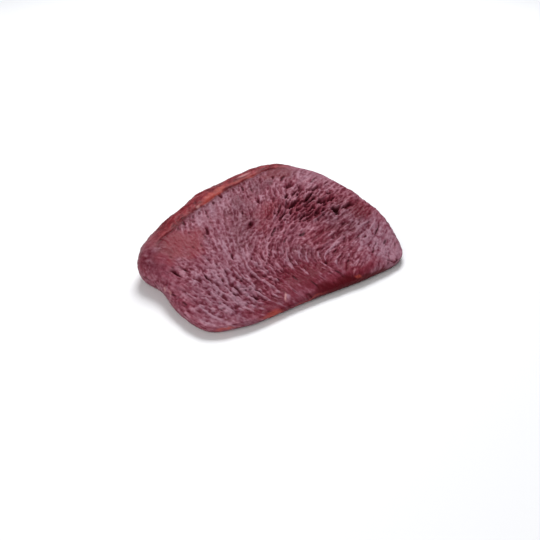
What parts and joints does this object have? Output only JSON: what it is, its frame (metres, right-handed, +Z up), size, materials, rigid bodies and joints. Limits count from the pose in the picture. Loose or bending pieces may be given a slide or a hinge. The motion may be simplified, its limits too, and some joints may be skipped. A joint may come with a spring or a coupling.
{
  "type": "beef heart slab",
  "caption": "Thick wedge-shaped slab of raw beef heart muscle with a swirling coarse grain and a smooth outer skin along its high back edge.",
  "frame": {"origin": "centre of the bounding box, at the flat base that the slab lies on", "axes": "+X along the slab's long front edge, to the right; +Y to the high back edge with the outer skin; +Z up"},
  "size_m": [0.195, 0.1535, 0.0441],
  "materials": {
    "heart_muscle": "raw wine-red heart muscle, wet and softly glossy, with a redder smooth outer skin and traces of orange-red fat"
  },
  "bodies": {
    "root": {"beef_heart": "heart_muscle"}
  },
  "joints": []
}
